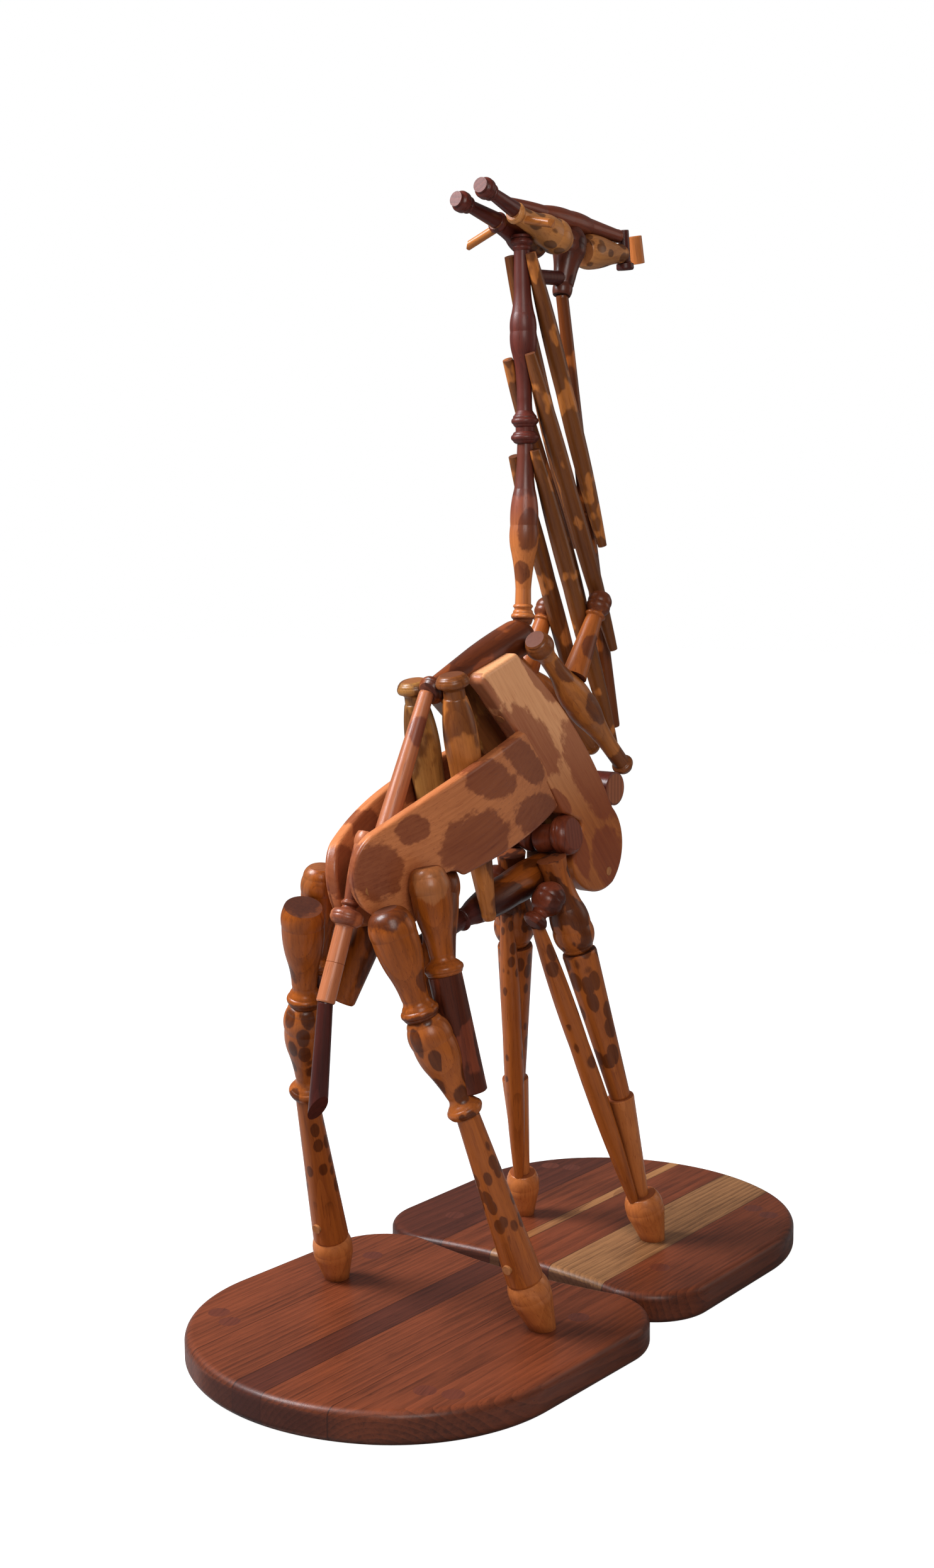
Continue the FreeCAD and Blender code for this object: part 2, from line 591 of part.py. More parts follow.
for side in SIDES:
    hind = HIND_LEG[side]
    flank = f"{side}_flank_board"
    thigh_diameter = 50 if side == "right" else 47
    leg_chain(side, hind, [
        ("thigh", leg_top(0.50, 0.60, 0.78), "hip", "knee", thigh_diameter),
        ("gaskin", VASE, "knee", "hock", 47),
        ("shin", cone(0.62, 1), "hock", "ankle", 42),
        ("hind_foot", PEG_FOOT, "ankle", "toe", 47)])
    leg_chain(side, hind, [
        ("haunch", leg_top(0.62, 0.61, 0.91), "crown", "haunch", 44),
        ("haunch_rod", PLAIN_ROD, "haunch", "rod_end", 37)])
    top, low = INNER_THIGH_ENDS[side]
    turned(f"{side}_inner_thigh", INNER_THIGH, top, low, 44)
    fit(f"{side}_thigh", flank)
    fit(f"{side}_haunch", flank, f"{side}_thigh")
    fit(f"{side}_haunch_rod", f"{side}_gaskin", f"{side}_thigh")
    fit(f"{side}_inner_thigh", flank, "belly_bar", "hip_spreader")
    fit(f"{side}_hind_foot", "hind_board")
    leg_dowels(side, hind, [
        ("hip", "knee", "hock", "thigh", "gaskin"),
        ("knee", "hock", "ankle", "gaskin", "shin"),
        ("hock", "ankle", "toe", "shin", "hind_foot"),
        ("crown", "haunch", "rod_end", "haunch", "haunch_rod")])
    foot_screw(side, "hind_foot", "hind_board", hind["toe"])
saw_off("left_thigh", beyond(HIND_LEG["left"]["knee"], HIND_LEG["left"]["hip"], -9), (-0.25, -0.35, 0.9))


# ---------------------------------------------------------------- fore legs

for side in SIDES:
    fore = FORE_LEG[side]
    forearm_diameter = 43 if side == "right" else 44
    foot_diameter = 48 if side == "right" else 42
    leg_chain(side, fore, [
        ("upper_arm", BULB_LEG, "shoulder", "elbow", 48),
        ("forearm", cone(1, 0.60, 0.04, 0.015), "elbow", "wrist", forearm_diameter),
        ("cannon", cone(1, 0.56), "wrist", "ankle", 34),
        ("fore_foot", PEG_FOOT, "ankle", "toe", foot_diameter)])
    turned(f"{side}_elbow_rod", ELBOW_ROD, fore["rod_top"], fore["rod_end"], 24)
    turned(f"{side}_elbow_finial", ELBOW_FINIAL, fore["knob_ring"], fore["knob"], 38)
    fit(f"{side}_upper_arm", "belly_bar", f"{side}_shoulder_board")
    fit(f"{side}_elbow_finial", "belly_bar", f"{side}_upper_arm", f"{side}_elbow_rod")
    fit(f"{side}_elbow_rod", f"{side}_cannon", f"{side}_fore_foot", f"{side}_upper_arm")
    fit(f"{side}_fore_foot", "front_board")
    leg_dowels(side, fore, [
        ("shoulder", "elbow", "wrist", "upper_arm", "forearm"),
        ("elbow", "wrist", "ankle", "forearm", "cannon"),
        ("wrist", "ankle", "toe", "cannon", "fore_foot")])
    foot_screw(side, "fore_foot", "front_board", fore["toe"])


# ---------------------------------------------------------------- chest and neck

CHEST_PEG_ENDS = {"right": ((64, -44, 564), (62, 8, 553)), "left": ((64, 44, 562), (62, 10, 553))}
BREAST_ENDS = {"right": ((-14, -41, 801), (199, -30, 631)), "left": ((36, 39, 785), (217, 30, 651))}
BREAST_FINIAL_ENDS = {"right": ((131, -40, 851), (69, -40, 753)),
                      "left": ((134, 40, 843), (80, 40, 750))}
NECK_TOP, NECK_JOINT, NECK_FOOT = (19, 0, 1266), (26, 0, 1028), (20, 0, 816)
NECK_RODS = {
    "upper": {"right": ((16, -15, 1244), (158, -22, 909)), "left": ((16, 15, 1243), (168, 22, 908))},
    "middle": {"right": ((13, -16, 1130), (180, -24, 781)), "left": ((13, 16, 1125), (190, 24, 822))},
    "lower": {"right": ((24, -15, 1020), (181, -24, 664)), "left": ((23, 15, 1014), (190, 24, 685))},
}
THROAT_TOP, THROAT_JOINT, THROAT_END = (102, 0, 1207), (155, 0, 951), (215, 0, 681)

turned("neck_post_lower", POST_LOW, NECK_JOINT, NECK_FOOT, 33)
turned("neck_post_upper", POST_TOP, NECK_TOP, NECK_JOINT, 31)
turned("throat_low", cone(0.85, 1, 0.05, 0.01), THROAT_JOINT, THROAT_END, 20)
turned("throat_top", cone(0.88, 1, 0.05, 0.01), THROAT_TOP, THROAT_JOINT, 17)
turned("neck_cross_dowel", PLAIN_ROD, (28, 0, 1221), (97, 0, 1226), 17)
fit("neck_post_lower", "withers_spindle", "right_shoulder_board", "left_shoulder_board")
fit("neck_cross_dowel", "neck_post_upper")
fit("throat_low", "chest_bar", "right_shoulder_board", "left_shoulder_board")

for side in SIDES:
    shoulder = f"{side}_shoulder_board"
    turned(f"{side}_chest_peg", CHEST_PEG, *CHEST_PEG_ENDS[side], 49)
    fit(f"{side}_chest_peg", shoulder, "belly_bar")
    turned(f"{side}_breast_spindle", BREAST_SPINDLE, *BREAST_ENDS[side], 38)
    fit(f"{side}_breast_spindle", shoulder, "withers_spindle", "neck_post_lower", "throat_low")
    turned(f"{side}_breast_finial", FINIAL, *BREAST_FINIAL_ENDS[side], 31)
    fit(f"{side}_breast_finial", f"{side}_breast_spindle", shoulder)

for level, pairs in NECK_RODS.items():
    for side, (top, low) in pairs.items():
        name = f"{side}_{level}_neck_rod"
        turned(name, NECK_ROD, top, low, 21)
        fit(name, "neck_post_upper", "neck_post_lower", "throat_top", "throat_low",
            f"{side}_breast_spindle", f"{side}_breast_finial")
fit("right_middle_neck_rod", "right_upper_neck_rod")
fit("left_middle_neck_rod", "left_upper_neck_rod")
fit("right_lower_neck_rod", "right_middle_neck_rod")
fit("left_lower_neck_rod", "left_middle_neck_rod")


# ---------------------------------------------------------------- head

turned("brow_spindle", BROW, (-9, 0, 1300), (227, 0, 1291), 24)
turned("head_post", BALL_POST, (124, 0, 1288), (101, 0, 1206), 40)
turned("jaw_spindle", JAW, (144, 0, 1263), (238, 0, 1271), 42)
turned("nose_block", FLARED_DOWEL, (237, 0, 1300), (242, 0, 1252), 22)
turned("nose_tip", PLAIN_ROD, (263, 0, 1296), (271, 0, 1263), 18)
fit("head_post", "brow_spindle")
fit("jaw_spindle", "brow_spindle", "head_post")
fit("nose_block", "jaw_spindle", "brow_spindle")
fit("nose_tip", "nose_block")
fit("throat_top", "head_post")
fit("neck_cross_dowel", "throat_top")
fit("neck_post_upper", "brow_spindle")

CHEEK_ENDS = {"right": ((-17, -14, 1286), (88, -16, 1264)), "left": ((-13, 14, 1279), (79, 16, 1260))}
HORN_ENDS = {"right": ((-86, -19, 1305), (-12, -14, 1288)), "left": ((-81, 19, 1295), (-10, 14, 1280))}
EAR_ENDS = {"right": ((-1, -14, 1280), (-1, -58, 1270)), "left": ((-6, 14, 1274), (-6, 60, 1256))}
for side, sign in SIDES.items():
    turned(f"{side}_cheek", CHEEK, *CHEEK_ENDS[side], 38)
    turned(f"{side}_horn", HORN, *HORN_ENDS[side], 23.5)
    turned(f"{side}_ear", PLAIN_ROD, *EAR_ENDS[side], 10)
    fit(f"{side}_cheek", "brow_spindle", "neck_post_upper", "head_post")
    fit(f"{side}_horn", f"{side}_cheek")
    fit(f"{side}_ear", f"{side}_cheek", "neck_post_upper")
    saw_off(f"{side}_ear", EAR_ENDS[side][1], (-0.5, sign * 0.8, 0.2))
for level in NECK_RODS:
    for side in SIDES:
        fit(f"{side}_{level}_neck_rod", f"{side}_cheek", "neck_cross_dowel")


# ---------------------------------------------------------------- dowels, screws and plugs

HAUNCH_JOINT_SHARE = 0.22
HAUNCH_JOINT_DEPTH = 19.0
SHIN_SCREW_SHARE = 0.875
for side, sign in SIDES.items():
    flank = f"{side}_flank_board"
    crown, haunch = Vector(*HIND_LEG[side]["crown"]), Vector(*HIND_LEG[side]["haunch"])
    inner_face = Vector(0, -sign * HAUNCH_JOINT_DEPTH, 0)
    haunch_joint = crown + (haunch - crown) * HAUNCH_JOINT_SHARE + inner_face
    dowel(f"{side}_haunch_dowel", haunch_joint, (0, 1, 0), f"{side}_haunch", flank)
    top = Vector(*INNER_THIGH_ENDS[side][0])
    inner_joint = top + Vector(2, sign * 9, -8)
    dowel(f"{side}_inner_dowel", inner_joint, (0, 1, 0), f"{side}_inner_thigh", flank)
    dowel(f"{side}_arm_dowel", (42, sign * 20, 514), (0, 1, 0), f"{side}_upper_arm", "belly_bar")
    joint_dowels += [f"{side}_haunch_dowel", f"{side}_inner_dowel", f"{side}_arm_dowel"]
dowel("neck_foot_dowel", NECK_FOOT, (0, 0, 1), "neck_post_lower", "withers_spindle")
dowel("neck_dowel", NECK_JOINT, (0, 0, 1), "neck_post_upper", "neck_post_lower")
dowel("tail_dowel", TAIL_END, (-12, 0, -76), "tail_spindle", "tail_tip")
dowel("throat_dowel", THROAT_TOP, (23, 0, -84), "head_post", "throat_top")
joint_dowels += ["neck_foot_dowel", "neck_dowel", "tail_dowel", "throat_dowel"]

SHOULDER_FACE = sizes["shoulder_face"]
SHOULDER_MIDDLE = SHOULDER_FACE - sizes["shoulder_thickness"] / 2
PLUG_DEPTH = sizes["plug_depth"]
FRAME_SCREW_LENGTH = 45.0
TIE_SCREW_LENGTH = 32.0
plug("tie_plug", (-305, -32, 546), (0, 1, 0), PLUG_DEPTH, "right_flank_board")
screw("tie_screw", (-305, -25, 546), (14, 29, 0), TIE_SCREW_LENGTH,
      "right_flank_board", "tail_spindle")
screws.append("tie_screw")
plug("face_plug", (153, -SHOULDER_FACE, 506), (0, 1, 0), PLUG_DEPTH, "right_shoulder_board")
caps = ["tie_plug", "face_plug"]
for side, sign in SIDES.items():
    shoulder = f"{side}_shoulder_board"
    plug(f"{side}_edge_plug", (-59, sign * SHOULDER_MIDDLE, 710), (1, 0, 1), PLUG_DEPTH, shoulder)
    screw(f"{side}_edge_screw", (-54, sign * SHOULDER_MIDDLE, 715), (17, -sign * 12, 50),
          FRAME_SCREW_LENGTH, shoulder, "withers_spindle")
    plug(f"{side}_lobe_plug", (80, sign * SHOULDER_MIDDLE, 521), (1, 0, 0.1), PLUG_DEPTH, shoulder)
    hock, ankle = Vector(*HIND_LEG[side]["hock"]), Vector(*HIND_LEG[side]["ankle"])
    shin_face = hock + (ankle - hock) * SHIN_SCREW_SHARE + Vector(-21.5, 0, -7)
    plug(f"{side}_shin_plug", shin_face, (1, 0, 0.33), PLUG_DEPTH + 4, f"{side}_shin")
    screws.append(f"{side}_edge_screw")
    caps += [f"{side}_edge_plug", f"{side}_lobe_plug", f"{side}_shin_plug"]


# ---------------------------------------------------------------- groups of one kind

PAIRS = {
    "inner_thighs": "inner_thigh", "elbow_finials": "elbow_finial", "ribs": "rib",
    "chest_pegs": "chest_peg", "breast_spindles": "breast_spindle",
    "breast_finials": "breast_finial", "upper_neck_rods": "upper_neck_rod",
    "middle_neck_rods": "middle_neck_rod", "lower_neck_rods": "lower_neck_rod",
    "cheeks": "cheek", "horns": "horn", "ears": "ear",
}
for name, single in PAIRS.items():
    group(name, *[f"{side}_{single}" for side in SIDES])
group("throat_rods", "throat_top", "throat_low")
group("joint_dowels", *joint_dowels)
group("frame_screws", *screws)
group("screw_plugs", *caps)


# ---------------------------------------------------------------- check and write

for name, feature in piece.items():
    feature.Label = name
doc.recompute()

failed = [item.Name for item in doc.Objects if {"Invalid", "Error"} & set(item.State)]
if failed:
    raise RuntimeError(f"failed objects: {failed}")
for name, feature in piece.items():
    shape = feature.Shape
    if shape.isNull() or not shape.isValid():
        raise RuntimeError(f"bad shape: {name}")

os.makedirs("parts", exist_ok=True)
for name, feature in piece.items():
    feature.Shape.exportStep(f"parts/{name}.step")
print(f"{len(piece)} sub-parts, {sum(len(f.Shape.Solids) for f in piece.values())} solids")
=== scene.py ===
import math

import bpy
import numpy as np
from mathutils import Matrix, Vector

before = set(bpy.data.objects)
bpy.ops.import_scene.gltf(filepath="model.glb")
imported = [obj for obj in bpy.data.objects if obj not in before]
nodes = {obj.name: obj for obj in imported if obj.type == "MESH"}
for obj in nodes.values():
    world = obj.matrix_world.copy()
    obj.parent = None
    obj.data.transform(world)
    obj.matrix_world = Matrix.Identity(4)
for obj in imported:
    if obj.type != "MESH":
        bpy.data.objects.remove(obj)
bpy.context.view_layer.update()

# Looks for a giraffe put together from stained furniture parts, with its studio and camera.
# Lengths are in metres, apart from the tables of stains and finishes, which are in mm.

MM = 0.001


# ---------------------------------------------------------------- tones

def tone(red, green, blue):
    """A display colour, 0 to 255 each, as the linear colour that a shader takes."""
    linear = []
    for value in (red, green, blue):
        part = value / 255
        linear.append(part / 12.92 if part <= 0.04045 else ((part + 0.055) / 1.055) ** 2.4)
    return (*linear, 1.0)


WHITE = (1.0, 1.0, 1.0, 1.0)

# Each wood has a pale tone, a dark tone and the tone of its sawn ends.
WOODS = {
    "honey": (tone(190, 112, 58), tone(142, 74, 34), tone(134, 66, 34)),
    "orange": (tone(168, 90, 36), tone(114, 52, 18), tone(110, 54, 28)),
    "golden": (tone(186, 112, 52), tone(130, 70, 28), tone(130, 72, 36)),
    "amber": (tone(158, 80, 24), tone(88, 38, 10), tone(132, 74, 40)),
    "reddish": (tone(126, 58, 34), tone(72, 28, 18), tone(100, 50, 34)),
    "maroon": (tone(96, 40, 30), tone(52, 19, 16), tone(108, 56, 42)),
    "purple": (tone(76, 32, 26), tone(36, 13, 12), tone(92, 48, 38)),
    "pinkish": (tone(180, 108, 70), tone(128, 66, 40), tone(120, 64, 42)),
    "ochre": (tone(196, 130, 72), tone(148, 84, 42), tone(150, 88, 48)),
    "olive": (tone(168, 116, 60), tone(116, 74, 34), tone(110, 68, 38)),
    "board": (tone(202, 124, 76), tone(160, 86, 48), tone(96, 46, 32)),
    # Lit and shaded copies of the board wood: painted light on the upper right shoulder board,
    # painted shade low on it.
    "board_lit": (tone(238, 172, 122), tone(204, 132, 86), tone(110, 54, 36)),
    "board_shaded": (tone(176, 100, 48), tone(130, 64, 28), tone(96, 46, 32)),
    "neck_red": (tone(136, 72, 52), tone(90, 40, 30), tone(108, 56, 42)),
    "withers": (tone(138, 68, 30), tone(84, 36, 16), tone(108, 56, 42)),
    "seat": (tone(126, 62, 36), tone(58, 25, 14), tone(70, 32, 24)),
    "seat_dark": (tone(92, 44, 30), tone(52, 24, 18), tone(70, 32, 24)),
    "seat_pale": (tone(176, 122, 76), tone(120, 72, 42), tone(70, 32, 24)),
    "seat_olive": (tone(158, 110, 70), tone(70, 40, 24), tone(70, 32, 24)),
    "plug": (tone(104, 50, 34), tone(66, 28, 20), tone(112, 60, 40)),
    "pale": (tone(180, 118, 70), tone(130, 76, 42), tone(146, 90, 54)),
}
STEEL = (tone(150, 146, 140), tone(96, 92, 90))
STAIN = tone(58, 21, 9)
PATCH = tone(112, 48, 32)


# ---------------------------------------------------------------- shader building

class Weave:
    """Short ways to add nodes to one node tree and to join them."""

    def __init__(self, tree):
        self.tree = tree

    def feed(self, socket, value):
        if isinstance(value, bpy.types.NodeSocket):
            self.tree.links.new(value, socket)
        else:
            socket.default_value = value

    def add(self, kind, inputs, **settings):
        node = self.tree.nodes.new(kind)
        for key, value in settings.items():
            setattr(node, key, value)
        for key, value in inputs.items():
            self.feed(node.inputs[key], value)
        return node

    def math(self, operation, first, second=0.0):
        return self.add("ShaderNodeMath", {0: first, 1: second}, operation=operation).outputs[0]

    def fold(self, operation, values):
        """One value from several, such as the least or the greatest of them."""
        result, *others = values
        for value in others:
            result = self.math(operation, result, value)
        return result

    def scaled(self, value, factor):
        return self.math("MULTIPLY", value, factor)

    def vector(self, operation, first, second):
        inputs = {0: first, 1: second}
        return self.add("ShaderNodeVectorMath", inputs, operation=operation).outputs["Vector"]

    def stretched(self, place, factors):
        return self.vector("MULTIPLY", place, factors)

    def length(self, place):
        node = self.add("ShaderNodeVectorMath", {0: place}, operation="LENGTH")
        return node.outputs["Value"]

    def turned(self, place, angles):
        node = self.add("ShaderNodeVectorRotate", {"Vector": place, "Rotation": angles},
                        rotation_type="EULER_XYZ")
        return node.outputs["Vector"]

    def coordinates(self, place):
        return self.add("ShaderNodeSeparateXYZ", {"Vector": place}).outputs

    def object_place(self):
        """The point's place in the object, which is its place in the frame."""
        return self.add("ShaderNodeTexCoord", {}).outputs["Object"]

    def noise(self, place, stretch, scale, detail, roughness):
        inputs = {"Vector": self.stretched(place, stretch), "Scale": scale, "Detail": detail,
                  "Roughness": roughness}
        return self.add("ShaderNodeTexNoise", inputs).outputs[0]

    def step(self, value, low, high):
        """0 where the value is at low, 1 where it is at high, and smooth between."""
        inputs = {"Value": value, "From Min": low, "From Max": high}
        node = self.add("ShaderNodeMapRange", inputs, interpolation_type="SMOOTHSTEP")
        return node.outputs["Result"]

    def mix(self, factor, first, second, blend="MIX"):
        node = self.add("ShaderNodeMix", {0: factor, 6: first, 7: second},
                        data_type="RGBA", blend_type=blend)
        return node.outputs[2]

    def darken(self, factor, colour, dark):
        """The colour multiplied by a dark tone, as far as the factor says."""
        return self.mix(factor, colour, dark, "MULTIPLY")

    def bump(self, height, strength, distance):
        inputs = {"Height": height, "Strength": strength, "Distance": distance}
        return self.add("ShaderNodeBump", inputs).outputs["Normal"]


def new_material(name):
    """A material, its Principled shader and a Weave on its tree."""
    material = bpy.data.materials.new(name)
    material.use_nodes = True
    shader = material.node_tree.nodes["Principled BSDF"]
    return material, shader, Weave(material.node_tree)


def give(name, material):
    """Puts one material on the whole of a CAD node."""
    materials = nodes[name].data.materials
    materials.clear()
    materials.append(material)


# ---------------------------------------------------------------- grain direction

PAIR_GAP = 1.5 * MM
SIDEWAYS = Vector((0, 1, 0))


def points_of(name):
    flat = np.zeros(len(nodes[name].data.vertices) * 3)
    nodes[name].data.vertices.foreach_get("co", flat)
    return flat.reshape(-1, 3)


def own_points(name):
    """A node's vertices. Where it is a pair of pieces, one on each side, only the right one's."""
    points = points_of(name)
    right = points[points[:, 1] < 0]
    if np.abs(points[:, 1]).min() > PAIR_GAP and len(right):
        return right
    return points


def longest_direction(points):
    """The direction that the points spread along most, pointing up."""
    spread = np.cov((points - points.mean(axis=0)).T)
    _, directions = np.linalg.eigh(spread)
    return Vector(directions[:, 2] * (1 if directions[2, 2] >= 0 else -1))


def grain_axes(name, axis):
    """Middle of a piece and its three own axes, the last along the grain.

    An axis straight along y leaves nothing across it, and then the piece isn't turned."""
    points = own_points(name)
    along = Vector(axis).normalized() if axis else longest_direction(points)
    across = along.cross(SIDEWAYS).normalized()
    return Vector(points.mean(axis=0)), Matrix((across, along.cross(across), along))


# ---------------------------------------------------------------- stains

def oval(weave, place, centre, angles, stretch):
    """Distance from an oval's centre, which is 1 at its rim."""
    offset = weave.vector("SUBTRACT", place, centre)
    return weave.length(weave.stretched(weave.turned(offset, angles), stretch))


def board_ovals(weave, place, stains):
    """Ovals that go right through a board: (x, z, half length, half width, slope in degrees)."""
    ovals = []
    for x, z, half_length, half_width, slope in stains:
        stretch = (1 / (half_length * MM), 0.0, 1 / (half_width * MM))
        angles = (0.0, math.radians(slope), 0.0)
        ovals.append(oval(weave, place, (x * MM, 0.0, z * MM), angles, stretch))
    return ovals


def turned_ovals(weave, place, angles, stains):
    """Ovals along the grain of a turned piece: (x, y, z, half length, half width)."""
    ovals = []
    for x, y, z, half_length, half_width in stains:
        across = 1 / (half_width * MM)
        stretch = (across, across, 1 / (half_length * MM))
        ovals.append(oval(weave, place, (x * MM, y * MM, z * MM), angles, stretch))
    return ovals


OVAL_RIM = 0.1
SPOT_STRETCH = (1.0, 1.0, 0.62)
SPOT_SCATTER = 0.8
SPOT_RIM = 0.05
SPOT_RAGGED = 0.28
BLOTCH_STRETCH = (1.0, 1.0, 0.6)
BLOTCH_DETAIL = 2.5
BLOTCH_ROUGHNESS = 0.5
BLOTCH_RIM = 0.025
BLOTCH_RAGGED = 0.1


def oval_mask(weave, ovals, ragged):
    """1 inside any of the ovals."""
    reach = weave.math("ADD", weave.fold("MINIMUM", ovals), ragged)
    return weave.step(reach, 1 + OVAL_RIM, 1 - OVAL_RIM)


def spot_mask(weave, heart, ragged, pitch, size, cover):
    """1 inside scattered oval spots, with one or none in each cell of the pitch.

    The size is a share of the pitch, and the cover is the share of cells that have a spot."""
    inputs = {"Vector": weave.stretched(heart, SPOT_STRETCH), "Scale": 1 / (pitch * MM),
              "Randomness": SPOT_SCATTER}
    cells = weave.add("ShaderNodeTexVoronoi", inputs)
    chance = weave.add("ShaderNodeSeparateColor", {0: cells.outputs["Color"]}).outputs[0]
    chosen = weave.math("LESS_THAN", chance, cover)
    reach = weave.math("ADD", cells.outputs["Distance"], weave.scaled(ragged, SPOT_RAGGED))
    return weave.scaled(weave.step(reach, size + SPOT_RIM, size - SPOT_RIM), chosen)


def blotch_mask(weave, heart, ragged, pitch, level):
    """1 inside broad clouds of the pitch; a lower level makes them larger."""
    broad = weave.noise(heart, BLOTCH_STRETCH, 1 / (pitch * MM), BLOTCH_DETAIL,
                        BLOTCH_ROUGHNESS)
    reach = weave.math("ADD", broad, weave.scaled(ragged, BLOTCH_RAGGED))
    return weave.step(reach, level - BLOTCH_RIM, level + BLOTCH_RIM)


FLAT_STAINED = ("flank_board", "shoulder_board")


def stain_mask(weave, name, place, heart, angles, ragged, stains, spots, blotch):
    """1 where a piece is stained, by ovals, spots or blotches. None if it has none of them."""
    masks = []
    if stains and name.endswith(FLAT_STAINED):
        masks.append(oval_mask(weave, board_ovals(weave, place, stains), ragged))
    elif stains:
        masks.append(oval_mask(weave, turned_ovals(weave, place, angles, stains), ragged))
    if spots:
        masks.append(spot_mask(weave, heart, ragged, *spots))
    if blotch:
        masks.append(blotch_mask(weave, heart, ragged, *blotch))
    return weave.fold("MAXIMUM", masks) if masks else None


STAIN_TINT = 0.5
STAIN_COVER = 0.55
STAIN_GRAIN = 0.45


def stained(weave, colour, grain, mark, dark):
    """The colour under a stain: tinted by it, half covered by it, and still showing grain."""
    tint = weave.mix(STAIN_TINT, WHITE, mark)
    covered = weave.mix(STAIN_COVER, weave.darken(1.0, colour, tint), mark)
    return weave.darken(weave.scaled(grain, STAIN_GRAIN), covered, dark)


# ---------------------------------------------------------------- tones of a piece

FAR_SIDE = (-4 * MM, 4 * MM)


def wood_tones(weave, left, height, wood, far_wood, lower):
    """The pale and the dark tone, which can change to another wood's leftwards or downwards."""
    pale, dark, _ = WOODS[wood]
    if far_wood:
        far = weave.step(left, *FAR_SIDE)
        pale = weave.mix(far, pale, WOODS[far_wood][0])
        dark = weave.mix(far, dark, WOODS[far_wood][1])
    if lower:
        low, high, lower_wood = lower
        above = weave.step(height, low * MM, high * MM)
        pale = weave.mix(above, WOODS[lower_wood][0], pale)
        dark = weave.mix(above, WOODS[lower_wood][1], dark)
    return pale, dark


PLANK_SHIFT = 0.037
PLANK_SHIFT_GROWTH = 0.011
SEAM_SHADE = 0.6
SEAM_WIDTH = (1.2 * MM, 0.3 * MM)


def plank_tones(weave, across, planks, pale, dark):
    """Grain offset, seam lines and tones of glued planks: (right-hand edge, wood)."""
    shift, seams = 0.0, 0.0
    for number, (edge, wood) in enumerate(planks):
        beyond = weave.math("GREATER_THAN", across, edge * MM)
        jump = weave.scaled(beyond, PLANK_SHIFT + PLANK_SHIFT_GROWTH * number)
        shift = weave.math("ADD", jump, shift)
        pale = weave.mix(beyond, pale, WOODS[wood][0])
        dark = weave.mix(beyond, dark, WOODS[wood][1])
        near = weave.math("ABSOLUTE", weave.math("SUBTRACT", across, edge * MM))
        seams = weave.math("MAXIMUM", seams, weave.step(near, *SEAM_WIDTH))
    offset = weave.add("ShaderNodeCombineXYZ", {0: shift, 1: 0.0, 2: shift}).outputs[0]
    return offset, seams, pale, dark


# ---------------------------------------------------------------- wood

RINGS = {"Scale": 52.0, "Distortion": 5.0, "Detail": 2.0, "Detail Scale": 0.35,
         "Detail Roughness": 0.5}
RING_STRETCH = (1.0, 1.0, 0.16)

# Noises: stretch along a piece's own axes, then scale, detail and roughness.
STREAKS = ((1.0, 1.0, 0.045), 260.0, 4.0, 0.6)
PORES = ((1.0, 1.0, 0.03), 1100.0, 2.0, 0.5)
CLOUDS = ((1.0, 1.0, 0.35), 17.0, 3.0, 0.55)
RAGGED_EDGES = ((1.0, 1.0, 0.5), 85.0, 4.0, 0.62)
RAGGED_REACH = 0.9

# Shares of the grain, and how far each shade goes at its strongest.
STREAK_SHARE = 0.62
CLOUD_SHARE = 0.55
PORE_SHADE = 0.45
END_RING_SHADE = 0.5
SAWN_SHADE = 0.75
# The last is painted shade: how far hollows and joints are darkened at most.
HOLLOW_SHADE_DEPTH = 0.55

# The values between which each thing comes in.
GRAIN_RANGE = (0.42, 1.12)
PORE_RANGE = (0.60, 0.72)
SAWN_FACING = (0.90, 0.97)
# Painted shade on the sides of boards comes in as a face turns from up to sideways.
SIDE_SHADE_FACING = (0.92, 0.5)
# The painted shade in hollows comes in between these two values of the occlusion.
HOLLOW_SHADE_RANGE = (0.75, 0.25)

# How far round a point the hollows that take painted shade are looked for, and with how many
# rays.
HOLLOW_REACH = 16 * MM
HOLLOW_SAMPLES = 4

# What each thing adds to the roughness and to the relief.
STREAK_ROUGHNESS = 0.12
SAWN_ROUGHNESS = 0.38
# Roughness added in the hollows that also take painted shade.
HOLLOW_ROUGHNESS = 0.10
RING_RELIEF = 0.08
STREAK_RELIEF = 0.8

RELIEF_STRENGTH = 0.22
RELIEF_HEIGHT = 0.6 * MM
COAT_ROUGHNESS = 0.18
SPECULAR_LEVEL = 0.24

# Where a piece lies from the heart of its tree. The last is for each unit of its seed.
HEART_ASIDE = 0.045
HEART_SWAY = 0.01
HEART_BEHIND = 0.03
HEART_ALONG = 0.17


def heart_offset(seed):
    """An offset for the grain that differs from piece to piece, so that no two are the same."""
    return (HEART_ASIDE + HEART_SWAY * math.sin(seed), HEART_BEHIND, seed * HEART_ALONG)


def ring_waves(weave, heart):
    inputs = {"Vector": weave.stretched(heart, RING_STRETCH), **RINGS}
    node = weave.add("ShaderNodeTexWave", inputs, wave_type="RINGS", rings_direction="Z",
                     wave_profile="SAW")
    return node.outputs["Fac"]


def sawn_faces(weave, normal, along):
    """1 on the faces that are cut across the grain."""
    node = weave.add("ShaderNodeVectorMath", {0: normal, 1: along}, operation="DOT_PRODUCT")
    return weave.step(weave.math("ABSOLUTE", node.outputs["Value"]), *SAWN_FACING)


def painted_hollow_shade(weave):
    """1 deep in hollows and joints, where the colour is darkened as painted shade."""
    hollow = weave.add("ShaderNodeAmbientOcclusion", {"Distance": HOLLOW_REACH},
                       samples=HOLLOW_SAMPLES)
    return weave.step(hollow.outputs["AO"], *HOLLOW_SHADE_RANGE)


